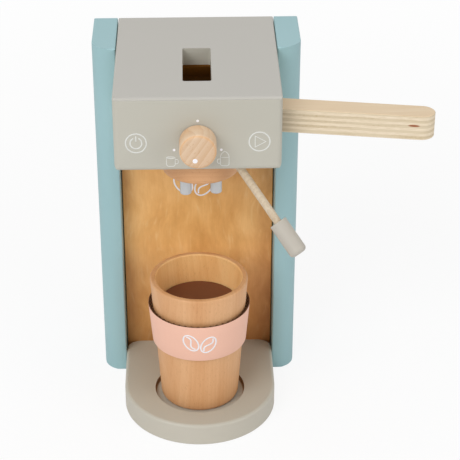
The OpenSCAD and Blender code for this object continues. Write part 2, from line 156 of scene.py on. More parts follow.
def soft_box(name, place, width, share):
    """A square lamp that aims at the toy and gives it this share of full light."""
    data = bpy.data.lights.new(name, "AREA")
    data.size = width * MM
    lamp = bpy.data.objects.new(name, data)
    bpy.context.scene.collection.objects.link(lamp)
    lamp.location = Vector(place) * MM
    beam = AIM - lamp.location
    lamp.rotation_euler = beam.to_track_quat("-Z", "Y").to_euler()
    data.energy = share * FULL_LIGHT * beam.length ** 2
    print(name, round(data.energy, 1), "W")


soft_box("key_light", (-900, -1300, 1250), 1100, 0.41)
soft_box("fill_light", (1300, -900, 700), 900, 0.17)
soft_box("top_light", (0, -150, 1700), 1000, 0.18)

world = bpy.data.worlds.new("studio")
bpy.context.scene.world = world
world.use_nodes = True
tree = world.node_tree
tree.nodes.clear()
path = add(tree, "LightPath").outputs
seen = add(tree, "Math", {0: path["Is Camera Ray"], 1: path["Is Glossy Ray"]}, operation="MAXIMUM")
walls = add(tree, "Background", {"Color": WHITE, "Strength": WALL_LIGHT})
white = add(tree, "Background", {"Color": WHITE, "Strength": 1})
mixed = add(tree, "MixShader", {0: seen.outputs[0], 1: walls.outputs[0], 2: white.outputs[0]})
add(tree, "OutputWorld", {"Surface": mixed.outputs[0]})
bpy.context.scene.view_settings.view_transform = "Standard"

# %% [markdown]
# ## The table
#
# The toy stands on a white sheet of paper. To the eye the paper is partly a lit surface and
# partly plain white, so it takes a faint soft shadow and still reads as a white ground. The
# share of plain white grows with the distance from the toy, so that the paper meets the white
# walls without a line.

# %% Table
TABLE_WIDTH = 8000  # mm, so that no edge is seen
PAPER_GLOW = 0.86  # share of plain white that the eye sees beside the toy
NEAR, FAR = 250, 900  # mm from the toy, between which the share rises to one

bpy.ops.mesh.primitive_plane_add(size=TABLE_WIDTH * MM, location=(0, 0, 0))
table = bpy.context.object
table.name = "table"
paper, tree = new_material("white_paper")
lit = add(tree, "BsdfDiffuse", {"Color": colour("#FAFAFA")})
glow = add(tree, "Emission", {"Color": WHITE, "Strength": 1})
path = add(tree, "LightPath").outputs
away = add(tree, "VectorMath", {0: add(tree, "TexCoord").outputs["Object"]}, operation="LENGTH")
share = add(tree, "MapRange", {"Value": away.outputs["Value"], "From Min": NEAR * MM,
                               "From Max": FAR * MM, "To Min": PAPER_GLOW})
share = add(tree, "Math", {0: share.outputs[0], 1: path["Is Camera Ray"]}, operation="MULTIPLY")
mixed = add(tree, "MixShader", {0: share.outputs[0], 1: lit.outputs[0], 2: glow.outputs[0]})
add(tree, "OutputMaterial", {"Surface": mixed.outputs[0]})
table.data.materials.append(paper)
print("table is", TABLE_WIDTH * MM, "m wide")

# %% [markdown]
# ## Painted board
#
# Panels, head and base are MDF with a satin water-based paint, sprayed on. Spray dries to a very
# fine orange peel, and the coat is never quite even: its tone drifts a little over a hand's
# width. MDF has no grain, so two noises are enough. Satin paint has the IOR of acrylic, 1.49,
# and a middling roughness that gives broad, soft highlights on the rounded edges.

# %% Paint
ACRYLIC_IOR = 1.49
PEEL_SIZE = 0.9  # mm between the dimples of the sprayed coat
PEEL_HEIGHT = 0.04
DRIFT_SIZE = 70  # mm over which the coat's tone changes
LOOKS_UP = (0.5, 0.9)  # upright part of a normal, from a side face to one that looks up


def in_millimetres(tree, turn=(0, 0, 0), shift=(0, 0, 0)):
    """The piece's own coordinates in millimetres, turned and shifted."""
    place = add(tree, "TexCoord").outputs["Object"]
    angles = [math.radians(a) for a in turn]
    scale = (1 / MM, 1 / MM, 1 / MM)
    return add(tree, "Mapping", {"Vector": place, "Location": shift, "Rotation": angles,
                                 "Scale": scale}).outputs[0]


def paint(name, tone, thin_tone, inside=None, sheen=(0.40, 0.52), upper=None):
    """Sprayed satin paint. The function inside, if given, changes what lies in a hollow and
    takes its gloss, and upper is the tone of the faces that look up: painted light, for the
    light that falls on them."""
    material, tree = new_material(name)
    place = in_millimetres(tree)
    drift = add(tree, "TexNoise", {"Vector": place, "Scale": 1 / DRIFT_SIZE, "Detail": 2})
    coat = add(tree, "Mix", {FACTOR: drift.outputs[0], FIRST: colour(tone),
                             SECOND: colour(thin_tone)}, data_type="RGBA")
    peel = add(tree, "TexNoise", {"Vector": place, "Scale": 1 / PEEL_SIZE, "Detail": 2})
    dull = add(tree, "MapRange", {"Value": drift.outputs[0], "To Min": sheen[0],
                                  "To Max": sheen[1]})
    bump = add(tree, "Bump", {"Height": peel.outputs[0], "Strength": 0.25,
                              "Distance": PEEL_HEIGHT * MM})
    base = coat.outputs[RESULT]
    sockets = {"Roughness": dull.outputs[0], "Normal": bump.outputs[0], "IOR": ACRYLIC_IOR}
    # painted light: faces that look up take a tone of their own, for the light that falls on them
    if upper:
        rise = add(tree, "SeparateXYZ", {0: add(tree, "TexCoord").outputs["Normal"]}).outputs["Z"]
        rise = add(tree, "MapRange", {"Value": rise, "From Min": LOOKS_UP[0],
                                      "From Max": LOOKS_UP[1]})
        base = add(tree, "Mix", {FACTOR: rise.outputs[0], FIRST: base, SECOND: colour(upper)},
                   data_type="RGBA").outputs[RESULT]
    if inside:
        base, within = inside(tree, place, base)
        dull = add(tree, "Math", {0: dull.outputs[0], 1: within}, operation="MAXIMUM")
        gloss = add(tree, "MapRange", {"Value": within, "To Min": 0.5, "To Max": 0})
        sockets |= {"Roughness": dull.outputs[0], "Specular IOR Level": gloss.outputs[0]}
    shader = add(tree, "BsdfPrincipled", {"Base Color": base, **sockets})
    add(tree, "OutputMaterial", {"Surface": shader.outputs[0]})
    return material


# %% [markdown]
# The head is painted once it is glued up, so its inside keeps the brown stain of the raw
# boards. A box tells inside from outside: where a point lies within it, the stain takes over.
# The box comes from the boards round the hollow. It is a hair larger than the hollow, reaches
# back through the window to just short of the head's rear face, and takes in the last
# millimetre of the slot's walls, which gets the dark of the inside as painted shade. Shade and
# light are painted over the stain: it is darkest at the back and the top of the hollow, where
# little light gets in, and paler on the floor under the slot, where light falls through it.

# %% Raw inside of the head
HAIR = 0.15  # mm beyond the hollow's own faces
SHADED_WALL_EDGE = 1.2  # mm of the slot's walls that take the dark of the inside, as painted shade
UP_AND_BACK = (0, 1, 1.5)  # the way in which the painted shade gets darker,
LIT_AT, SHADED_AT = -6, 24  # and where, counted that way from the hollow's middle

hollow_low = Vector((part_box("head_left_cheek")[1].x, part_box("head_front_board")[1].y,
                     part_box("head_bottom_board")[1].z)) / MM - Vector((HAIR, HAIR, HAIR))
hollow_high = Vector((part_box("head_right_cheek")[0].x + HAIR * MM,
                      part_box("head_rear_board")[1].y - HAIR * MM,
                      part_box("head_top_board")[0].z + SHADED_WALL_EDGE * MM)) / MM
hollow_mid = (hollow_low + hollow_high) / 2
hollow_half = (hollow_high - hollow_low) / 2
print("hollow of the head in mm:", [round(2 * x, 1) for x in hollow_half])


def stained_and_shaded_inside(tree, place, base):
    """Puts the brown stain, with painted shade and light over it, in the hollow of the head, and
    tells where that is.
    """
    away = add(tree, "VectorMath", {0: place, 1: hollow_mid}, operation="SUBTRACT")
    size = add(tree, "VectorMath", {0: away.outputs[0]}, operation="ABSOLUTE")
    short = add(tree, "VectorMath", {0: hollow_half, 1: size.outputs[0]}, operation="SUBTRACT")
    parts = add(tree, "SeparateXYZ", {0: short.outputs[0]})
    least = add(tree, "Math", {0: parts.outputs[0], 1: parts.outputs[1]}, operation="MINIMUM")
    least = add(tree, "Math", {0: least.outputs[0], 1: parts.outputs[2]}, operation="MINIMUM")
    within = add(tree, "Math", {0: least.outputs[0], 1: 0.0}, operation="GREATER_THAN")
    hollow_shade = add(tree, "VectorMath", {0: away.outputs[0], 1: UP_AND_BACK}, operation="DOT_PRODUCT")
    hollow_shade = add(tree, "MapRange", {"Value": hollow_shade.outputs["Value"], "From Min": LIT_AT,
                                  "From Max": SHADED_AT})
    # painted shade and light: darker at the back and top of the hollow, paler on the floor under
    # the slot
    stain_with_shade = add(tree, "Mix", {FACTOR: hollow_shade.outputs[0], FIRST: colour("#E6A963"),
                              SECOND: colour("#6E4519")}, data_type="RGBA")
    mixed = add(tree, "Mix", {FACTOR: within.outputs[0], FIRST: base,
                              SECOND: stain_with_shade.outputs[RESULT]}, data_type="RGBA")
    return mixed.outputs[RESULT], within.outputs[0]


# %% [markdown]
# The cup's recess is cut into the painted base plate with a round cutter. Its wall and the last
# millimetre of its floor get a darker brown, painted shade in the corner of the recess. A thin
# tube round the recess's axis tells which points those are. It ends just below the base plate's
# upper face.

# %% Recess of the base plate
RECESS = Vector((0, -42.5, 12))  # mm, the middle of its floor
TUBE_R, TUBE_HALF = 28.6, 0.6  # mm, the tube's middle radius and half its thickness
TUBE_HEIGHT = 2.9


def recess_shade(tree, place, base):
    """Paints shade, a darker brown, on the wall of the recess and the edge of its floor, and tells
    where that is.
    """
    away = add(tree, "VectorMath", {0: place, 1: RECESS}, operation="SUBTRACT")
    parts = add(tree, "SeparateXYZ", {0: away.outputs[0]}).outputs
    across = add(tree, "VectorMath", {0: away.outputs[0], 1: (1, 1, 0)}, operation="MULTIPLY")
    across = add(tree, "VectorMath", {0: across.outputs[0]}, operation="LENGTH")
    off = add(tree, "Math", {0: across.outputs["Value"], 1: TUBE_R}, operation="SUBTRACT")
    off = add(tree, "Math", {0: off.outputs[0]}, operation="ABSOLUTE")
    near = add(tree, "Math", {0: off.outputs[0], 1: TUBE_HALF}, operation="LESS_THAN")
    low = add(tree, "Math", {0: parts["Z"], 1: TUBE_HEIGHT}, operation="LESS_THAN")
    within = add(tree, "Math", {0: near.outputs[0], 1: low.outputs[0]}, operation="MULTIPLY")
    # painted shade in the corner of the recess
    mixed = add(tree, "Mix", {FACTOR: within.outputs[0], FIRST: base, SECOND: colour("#A08468")},
                data_type="RGBA")
    return mixed.outputs[RESULT], within.outputs[0]


# %% Kinds of paint
teal_paint = paint("teal_paint_on_mdf", "#A0C3C7", "#97BBC0")
# the beige paints' tones for faces that look up are painted light
beige_paint = paint("beige_paint_on_mdf", "#BFBCB0", "#B8B5A9", stained_and_shaded_inside, (0.55, 0.66),
                    "#BEBBB4")
base_paint = paint("beige_paint_on_base", "#C6C1B4", "#BFB9AB", recess_shade, upper="#BDB7A8")
tip_paint = paint("beige_paint_on_beech", "#BEB8AD", "#B7B0A4")

# %% [markdown]
# ## Solid beech
#
# Cup, knob and disc are turned from beech. Beech shows three things: growth rings a few
# millimetres apart, very fine fibres along the grain, and short dark flecks, which are the rays
# of the tree seen from the side. All three are a function of where a point lies in the trunk,
# so the pattern is built in three dimensions. It then turns to arcs on end grain by itself. The
# rings are a wave round the pith, which lies outside the small piece. The coordinates are
# turned so that the grain runs along Z, and squeezed along Z, so that everything gets long.

# %% Beech
FULL_TURN = 2 * math.pi
WAVE_PER_UNIT = 20  # a Wave texture of scale 1 turns its phase by this much per unit
FIBRE = (0.45, 0.45, 16)  # mm, drawn about three times as coarse as real fibres, to show
FLECK = (0.9, 0.28, 2.4)  # mm: depth, width and length of a ray fleck
SQUEEZE = 0.12  # share of a length along the grain that rings and clouds see
CLOUD_SIZE = 16  # mm


def solid_wood(name, pale, dark, fleck_tone, turn=(0, 0, 0), pith=(55, 90, 0), ring_gap=2.6,
               ring=0.5, fibre=0.35, cloud=1.1, fleck=0.5, roughness=0.5, tint=None):
    """Solid wood with rings, fibres and ray flecks along the Z axis of the turned coordinates."""
    material, tree = new_material(name)
    place = in_millimetres(tree, turn, pith)
    drawn_out = add(tree, "Mapping", {"Vector": place, "Scale": (1, 1, SQUEEZE)}).outputs[0]
    wave_scale = FULL_TURN / WAVE_PER_UNIT / ring_gap
    rings = add(tree, "TexWave", {"Vector": drawn_out, "Scale": wave_scale, "Distortion": 5.0,
                                  "Detail": 3, "Detail Scale": 0.9},
                wave_type="RINGS", rings_direction="Z", wave_profile="SAW")
    fibres = add(tree, "Mapping", {"Vector": place, "Scale": [1 / size for size in FIBRE]})
    fibres = add(tree, "TexNoise", {"Vector": fibres.outputs[0], "Scale": 1, "Detail": 3,
                                    "Roughness": 0.6})
    clouds = add(tree, "TexNoise", {"Vector": drawn_out, "Scale": 1 / CLOUD_SIZE, "Detail": 2})
    rays = add(tree, "Mapping", {"Vector": place, "Scale": [1 / size for size in FLECK]})
    rays = add(tree, "TexNoise", {"Vector": rays.outputs[0], "Scale": 1, "Detail": 1})
    rays = add(tree, "MapRange", {"Value": rays.outputs[0], "From Min": 0.62, "From Max": 0.70})

    amount = add(tree, "Math", {0: rings.outputs[1], 1: ring, 2: -0.5 * ring},
                 operation="MULTIPLY_ADD")
    for noise, share in ((fibres, fibre), (clouds, cloud)):
        centred = add(tree, "Math", {0: noise.outputs[0], 1: share, 2: -0.5 * share},
                      operation="MULTIPLY_ADD")
        amount = add(tree, "Math", {0: amount.outputs[0], 1: centred.outputs[0]})
    amount = add(tree, "Math", {0: amount.outputs[0], 1: 0.5}, use_clamp=True)
    base = add(tree, "Mix", {FACTOR: amount.outputs[0], FIRST: colour(pale), SECOND: colour(dark)},
               data_type="RGBA")
    share = add(tree, "Math", {0: rays.outputs[0], 1: fleck}, operation="MULTIPLY")
    base = add(tree, "Mix", {FACTOR: share.outputs[0], FIRST: base.outputs[RESULT],
                             SECOND: colour(fleck_tone)}, data_type="RGBA")
    if tint:
        base = tint(tree, base)
    bump = add(tree, "Bump", {"Height": fibres.outputs[0], "Strength": 0.3, "Distance": 0.05 * MM})
    shader = add(tree, "BsdfPrincipled", {"Base Color": base.outputs[RESULT],
                                          "Roughness": roughness, "Normal": bump.outputs[0]})
    add(tree, "OutputMaterial", {"Surface": shader.outputs[0]})
    return material


# %% [markdown]
# Two turned pieces get a tint over their wood. Inside the cup it is painted light: brighter and
# warmer, for the light that bounces round in the cup. The knob's round edge is more orange and
# its face a little darker than its sides. The normal tells where that is: inside the cup it points
# at the cup's axis, and on the knob's face it looks to the front.

# %% Tints of the cup and the knob
CUP_AXIS = (0, -41.5, 0)  # mm
# painted light: how much brighter and warmer the inside of the cup is made
BOUNCED_LIGHT = (1.38, 1.60, 1.47, 1)


def cup_inside_light(tree, base):
    """Paints light on the inside of the cup, brighter and warmer: the faces whose normal points at
    the cup's axis.
    """
    place = add(tree, "VectorMath", {0: in_millimetres(tree), 1: CUP_AXIS}, operation="SUBTRACT")
    place = add(tree, "VectorMath", {0: place.outputs[0], 1: (1, 1, 0)}, operation="MULTIPLY")
    place = add(tree, "VectorMath", {0: place.outputs[0]}, operation="NORMALIZE")
    normal = add(tree, "TexCoord").outputs["Normal"]
    inward = add(tree, "VectorMath", {0: place.outputs[0], 1: normal}, operation="DOT_PRODUCT")
    inward = add(tree, "MapRange", {"Value": inward.outputs["Value"], "From Min": -0.3,
                                    "From Max": -0.8})
    return add(tree, "Mix", {FACTOR: inward.outputs[0], FIRST: base.outputs[RESULT],
                             SECOND: BOUNCED_LIGHT}, data_type="RGBA", blend_type="MULTIPLY")


def knob_tint(tree, base):
    """Makes the round edge of the knob more orange and its face a little darker than its sides, by
    which way a face looks.
    """
    normal = add(tree, "TexCoord").outputs["Normal"]
    facing = add(tree, "SeparateXYZ", {0: normal}).outputs["Y"]
    facing = add(tree, "Math", {0: facing}, operation="ABSOLUTE")
    tone = add(tree, "ValToRGB", {"Fac": facing.outputs[0]},
               stops=[(0.4, WHITE), (1, (0.90, 0.87, 0.85, 1)), (0.72, (0.96, 0.80, 0.62, 1))])
    return add(tree, "Mix", {FACTOR: 1, FIRST: base.outputs[RESULT], SECOND: tone.outputs[0]},
               data_type="RGBA", blend_type="MULTIPLY")


# %% Kinds of wood
ALONG_X = (0, 90, 0)
cup_beech = solid_wood("turned_beech_cup", "#E2B080", "#D0945E", "#BA8252", ring=0.2, fibre=0.6,
                       cloud=1.8, fleck=0.3, tint=cup_inside_light)
disc_beech = solid_wood("turned_beech_disc", "#DFAC7E", "#C8905F", "#B07646", ALONG_X,
                        pith=(40, 150, 0), ring=0.25, fleck=0.25)
knob_beech = solid_wood("turned_beech_knob", "#EBD3B7", "#D6AE85", "#C08C5C", (0, -34, 0),
                        pith=(205, 82, 30), ring_gap=4.5, ring=0.42, fleck=0.3, tint=knob_tint)
dowel_beech = solid_wood("beech_dowel", "#E6D2B2", "#D5B88E", "#B08A5C", fibre=0.6, fleck=0.7)
rod_beech = solid_wood("beech_rod", "#D4C5AE", "#C0AA8D", "#A88C66", (0, -32, 0), fibre=0.8,
                       fleck=0.5, roughness=0.6)
raw_pine = solid_wood("raw_softwood", "#E3C796", "#CDA468", "#B8864C", pith=(30, 60, 0),
                      ring_gap=4.0, ring=0.4, fleck=0.0, roughness=0.65)
raw_board = solid_wood("raw_board", "#B08A5E", "#94703F", "#7D5A30", ALONG_X, ring=0.3,
                       fleck=0.2, roughness=0.7)

# %% [markdown]
# ## Plywood back
#
# The back is birch plywood under an orange-brown varnish. Its face is a veneer peeled off a
# turning log, so it shows no straight rings but long, cloudy figure that follows the grain
# upwards, with fine pores. Varnish makes it glossier than raw wood. Rings, as in the solid wood,
# would be too regular here, so the figure is a noise that is drawn out along Z and bent by
# another, slower noise. Shade is painted into the tone: it deepens towards the foot, where the
# cup and the base shade the panel, and a little at the top, under the head. Low on the right,
# in the shade between the cup and the side panel, it is painted darker and redder.

# %% Back panel
FIGURE = (13, 13, 34)  # mm: how wide, deep and long one cloud of the figure is
STREAK = (2.2, 2.2, 30)
PORE = (0.55, 0.55, 14)
BEND, BEND_SIZE = 22, 45  # mm: how far the figure is bent, and over what length
# painted shade: the tone's share at each height, darker at the foot and a little at the top
SHADE_BY_HEIGHT = {12: 0.54, 170: 0.78, 32: 0.74, 45: 0.80, 70: 0.83, 90: 1.0, 110: 0.96, 125: 0.92,
          142: 0.85}  # share of the full tone at some heights in mm, lowest and highest first
LOW_RIGHT = (1, 0, -0.5)  # the way in which the painted shade gets darker and redder,
SHADE_FROM, SHADE_TO = -20, 10  # and where, counted that way
RED_SHADE = (1.02, 0.89, 0.81, 1)


def veneer(name, pale, middle, dark):
    """Face of a rotary cut veneer with its grain along Z."""
    material, tree = new_material(name)
    place = in_millimetres(tree)
    slow = add(tree, "TexNoise", {"Vector": place, "Scale": 1 / BEND_SIZE, "Detail": 1})
    bent = add(tree, "VectorMath", {0: slow.outputs[1], 1: (BEND,) * 3}, operation="MULTIPLY")
    bent = add(tree, "VectorMath", {0: place, 1: bent.outputs[0]})
    clouds = add(tree, "Mapping", {"Vector": bent.outputs[0],
                                   "Scale": [1 / size for size in FIGURE]})
    clouds = add(tree, "TexNoise", {"Vector": clouds.outputs[0], "Scale": 1, "Detail": 5,
                                    "Roughness": 0.62})
    tone = add(tree, "ValToRGB", {"Fac": clouds.outputs[0]},
               stops=[(0.33, colour(dark)), (0.66, colour(pale)), (0.5, colour(middle))])
    streaks = add(tree, "Mapping", {"Vector": bent.outputs[0],
                                    "Scale": [1 / size for size in STREAK]})
    streaks = add(tree, "TexNoise", {"Vector": streaks.outputs[0], "Scale": 1, "Detail": 2})
    share = add(tree, "MapRange", {"Value": streaks.outputs[0], "From Min": 0.58, "From Max": 0.74,
                                   "To Max": 0.3})
    tone = add(tree, "Mix", {FACTOR: share.outputs[0], FIRST: tone.outputs[0],
                             SECOND: colour("#FFDFA6")}, data_type="RGBA")
    lines = add(tree, "Mapping", {"Vector": place, "Scale": [1 / size for size in PORE]})
    lines = add(tree, "TexNoise", {"Vector": lines.outputs[0], "Scale": 1, "Detail": 3})
    share = add(tree, "MapRange", {"Value": lines.outputs[0], "From Min": 0.45, "From Max": 0.75,
                                   "To Max": 0.3})
    base = add(tree, "Mix", {FACTOR: share.outputs[0], FIRST: tone.outputs[RESULT],
                             SECOND: colour(dark)}, data_type="RGBA")
    # painted shade by height
    height = add(tree, "SeparateXYZ", {0: place}).outputs["Z"]
    foot, top = min(SHADE_BY_HEIGHT), max(SHADE_BY_HEIGHT)
    height = add(tree, "MapRange", {"Value": height, "From Min": foot, "From Max": top})
    depth = add(tree, "ValToRGB", {"Fac": height.outputs[0]},
                stops=[((z - foot) / (top - foot), (left, left ** 1.3, left ** 1.5, 1))
                       for z, left in SHADE_BY_HEIGHT.items()])
    base = add(tree, "Mix", {FACTOR: 1, FIRST: base.outputs[RESULT], SECOND: depth.outputs[0]},
               data_type="RGBA", blend_type="MULTIPLY")
    # painted shade, darker and redder low on the right
    low_right_shade = add(tree, "VectorMath", {0: place, 1: LOW_RIGHT}, operation="DOT_PRODUCT")
    low_right_shade = add(tree, "MapRange", {"Value": low_right_shade.outputs["Value"], "From Min": SHADE_FROM,
                                 "From Max": SHADE_TO})
    base = add(tree, "Mix", {FACTOR: low_right_shade.outputs[0], FIRST: base.outputs[RESULT],
                             SECOND: RED_SHADE}, data_type="RGBA", blend_type="MULTIPLY")
    bump = add(tree, "Bump", {"Height": lines.outputs[0], "Strength": 0.2, "Distance": 0.04 * MM})
    shader = add(tree, "BsdfPrincipled", {"Base Color": base.outputs[RESULT],
                                          "Roughness": 0.42, "Normal": bump.outputs[0]})
    add(tree, "OutputMaterial", {"Surface": shader.outputs[0]})
    return material


back_veneer = veneer("varnished_birch_veneer", "#FAC780", "#F0B970", "#E2A75F")

# %% [markdown]
# ## Plywood lever
#
# The lever is cut from a 15 mm birch board. Its top shows the face veneer. Its edges show the
# plies: every other one is cut along the grain and looks pale and smooth, and those between are
# cut across it and look darker and speckled. So the tone follows the height: a whole number of
# plies, told odd from even. A face counts as top or edge by its normal. One edge has a small
# brown knot, as birch plies do.

# %% Lever, its cut plies
PLIES = 9
WOBBLE, WOBBLE_SIZE = 0.5, 18  # mm: how far the glue lines wander, and over what length
PATCH_LENGTH = 26  # mm

lever_low, lever_high = [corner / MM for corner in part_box("lever")]
ply_t = (lever_high.z - lever_low.z) / PLIES
print("one ply is", round(ply_t, 2), "mm thick")


def cut_plies(tree, place, along, speck):
    """Pale and dark plies by height. Here and there a dark one is nearly as pale."""
    wobble = add(tree, "TexNoise", {"Vector": place, "Scale": 1 / WOBBLE_SIZE, "Detail": 2})
    height = add(tree, "SeparateXYZ", {0: place}).outputs["Z"]
    height = add(tree, "Math", {0: wobble.outputs[0], 1: WOBBLE, 2: height},
                 operation="MULTIPLY_ADD")
    layer = add(tree, "Math", {0: height.outputs[0], 1: lever_low.z + WOBBLE / 2},
                operation="SUBTRACT")
    layer = add(tree, "Math", {0: layer.outputs[0], 1: ply_t}, operation="DIVIDE")
    cross = add(tree, "Math", {0: layer.outputs[0], 1: 1}, operation="PINGPONG")
    cross = add(tree, "MapRange", {"Value": cross.outputs[0], "From Min": 0.44, "From Max": 0.56})
    patch = add(tree, "Mapping", {"Vector": place,
                                  "Scale": (1 / PATCH_LENGTH, 1 / PATCH_LENGTH, 1 / ply_t)})
    patch = add(tree, "TexNoise", {"Vector": patch.outputs[0], "Scale": 1, "Detail": 2})
    patch = add(tree, "MapRange", {"Value": patch.outputs[0], "From Min": 0.35, "From Max": 0.6})
    pale_ply = add(tree, "ValToRGB", {"Fac": along},
                   stops=[(0.3, colour("#DDCBAE")), (0.7, colour("#EDDDC4"))])
    cross_ply = add(tree, "ValToRGB", {"Fac": speck},
                    stops=[(0.3, colour("#C4AE8A")), (0.7, colour("#D6C4A5"))])
    cross_ply = add(tree, "Mix", {FACTOR: patch.outputs[0], FIRST: cross_ply.outputs[0],
                                  SECOND: colour("#D9C8AA")}, data_type="RGBA")
    return add(tree, "Mix", {FACTOR: cross.outputs[0], FIRST: pale_ply.outputs[0],
                             SECOND: cross_ply.outputs[RESULT]}, data_type="RGBA")


# %% Lever, its knot and faces
KNOT = Vector((124.8, -65.8, 212.7))  # mm, on the front edge
KNOT_SIZE = Vector((3.6, 3.0, 0.75))
ALONG_FIBRE = (22, 0.8, 0.5)  # mm: length, width and height, here and below
CUT_FIBRE = (1.6, 1.6, 0.5)
BROAD_FIGURE = (60, 7, 7)


def knot_in(tree, place, plies):
    """The plies with the knot, an ellipsoid round its place."""
    away = add(tree, "VectorMath", {0: place, 1: KNOT}, operation="SUBTRACT")
    away = add(tree, "VectorMath", {0: away.outputs[0], 1: KNOT_SIZE}, operation="DIVIDE")
    away = add(tree, "VectorMath", {0: away.outputs[0]}, operation="LENGTH")
    knot = add(tree, "MapRange", {"Value": away.outputs["Value"], "From Min": 1.1,
                                  "From Max": 0.7})
    return add(tree, "Mix", {FACTOR: knot.outputs[0], FIRST: plies.outputs[RESULT],
                             SECOND: colour("#9A5A34")}, data_type="RGBA")


def lever_plywood():
    """Face veneer above and below, plies all round the edge."""
    material, tree = new_material("birch_plywood_lever")
    place = in_millimetres(tree)
    noises = []
    for sizes in (ALONG_FIBRE, CUT_FIBRE, BROAD_FIGURE):
        noise = add(tree, "Mapping", {"Vector": place, "Scale": [1 / size for size in sizes]})
        noise = add(tree, "TexNoise", {"Vector": noise.outputs[0], "Scale": 1, "Detail": 3})
        noises.append(noise.outputs[0])
    along, speck, broad = noises
    edge = knot_in(tree, place, cut_plies(tree, place, along, speck))
    face = add(tree, "ValToRGB", {"Fac": along},
               stops=[(0.25, colour("#E0C7A6")), (0.75, colour("#EAD8BC"))])
    face = add(tree, "Mix", {FACTOR: broad, FIRST: face.outputs[0], SECOND: colour("#DFC5A2")},
               data_type="RGBA")
    flat = add(tree, "SeparateXYZ", {0: add(tree, "TexCoord").outputs["Normal"]}).outputs["Z"]
    flat = add(tree, "Math", {0: flat}, operation="ABSOLUTE")
    flat = add(tree, "MapRange", {"Value": flat.outputs[0], "From Min": 0.6, "From Max": 0.8})
    base = add(tree, "Mix", {FACTOR: flat.outputs[0], FIRST: edge.outputs[RESULT],
                             SECOND: face.outputs[RESULT]}, data_type="RGBA")
    bump = add(tree, "Bump", {"Height": speck, "Strength": 0.3, "Distance": 0.06 * MM})
    shader = add(tree, "BsdfPrincipled", {"Base Color": base.outputs[RESULT],
                                          "Roughness": 0.6, "Normal": bump.outputs[0]})
    add(tree, "OutputMaterial", {"Surface": shader.outputs[0]})
    return material


lever_ply = lever_plywood()

# %% [markdown]
# ## Lacquer, coffee, metal and fibre
#
# The spouts are dowels under a silver-grey lacquer: fine metal flakes in a clear coat, so they
# are slightly metallic and quite smooth. The coffee is a brown satin paint on the loose wooden
# insert, brushed on, so its tone is uneven. Screws and washers inside are zinc-plated steel
# and pressed fibre.

# %% Lacquer, coffee, metal and fibre
FLAKE_SIZE = 0.35  # mm, drawn coarser than real flakes, to show


def plain_finish(name, tone, second_tone, grit, roughness, bump_height=0.02, metal=0):
    """A finish of two close tones mixed by a noise as fine as its grit, in millimetres."""
    material, tree = new_material(name)
    place = in_millimetres(tree)
    noise = add(tree, "TexNoise", {"Vector": place, "Scale": 1 / grit, "Detail": 3})
    base = add(tree, "Mix", {FACTOR: noise.outputs[0], FIRST: colour(tone),
                             SECOND: colour(second_tone)}, data_type="RGBA")
    bump = add(tree, "Bump", {"Height": noise.outputs[0], "Strength": 0.3,
                              "Distance": bump_height * MM})
    shader = add(tree, "BsdfPrincipled", {"Base Color": base.outputs[RESULT],
                                          "Roughness": roughness, "Metallic": metal,
                                          "Normal": bump.outputs[0]})
    add(tree, "OutputMaterial", {"Surface": shader.outputs[0]})
    return material


spout_lacquer = plain_finish("silver_grey_lacquer", "#CDD0D2", "#C0C3C6", FLAKE_SIZE, 0.34,
                             metal=0.35)
coffee_paint = plain_finish("brown_satin_paint", "#77442A", "#6C3B24", 6, 0.45)
zinc = plain_finish("zinc_plated_steel", "#C4C7CB", "#B4B8BD", 0.6, 0.35, metal=1)
fibre = plain_finish("pressed_fibre", "#8E6038", "#74492A", 0.5, 0.8, 0.08)

# %% [markdown]
# ## Give each piece its finish
#
# Every piece from the joiner's model has one slot for a material. A table of finishes and the
# pieces that wear them is easier to check than thirty-four lines. Card is made anew below.

# %% Assign the finishes
FINISHES = {
    teal_paint: ["left_side_panel", "right_side_panel"],
    beige_paint: ["head_top_board", "head_front_board", "head_bottom_board", "head_left_cheek",
                  "head_right_cheek", "wand_swivel"],
    base_paint: ["base_plate"],
    tip_paint: ["wand_tip"],
    back_veneer: ["back_panel"],
    raw_pine: ["rear_crossbar", "left_cleat", "right_cleat"],
    raw_board: ["head_rear_board"],
    knob_beech: ["knob"],
    disc_beech: ["brew_disc"],
    cup_beech: ["cup_body"],
    rod_beech: ["wand_rod"],
    dowel_beech: ["base_dowels", "panel_dowels", "knob_shaft", "lever_pin", "lever_spacer",
                  "brew_pin"],
    lever_ply: ["lever"],
    spout_lacquer: ["left_spout", "right_spout"],
    coffee_paint: ["coffee_insert"],
    zinc: ["head_screws", "knob_washer", "knob_screw"],
    fibre: ["lever_washer", "brew_washer"],
}
for material, names in FINISHES.items():
    for name in names:
        nodes[name].data.materials.clear()
        nodes[name].data.materials.append(material)
print("pieces with a finish:", sum(len(names) for names in FINISHES.values()))

# %% [markdown]
# ## Card
#
# The sleeve is card: a smooth pink sheet glued on a fluted brown one. Coated card is matt, and
# the flutes behind it press through as faint upright bands. Brown kraft paper is rougher, with
# visible fibres.

# %% Card
FLUTES = 48
PAPER_FIBRE = (0.5, 0.5, 0.8)  # mm

sleeve_low, sleeve_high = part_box("cup_sleeve")
axis = (sleeve_low + sleeve_high) / 2
axis.z = 0


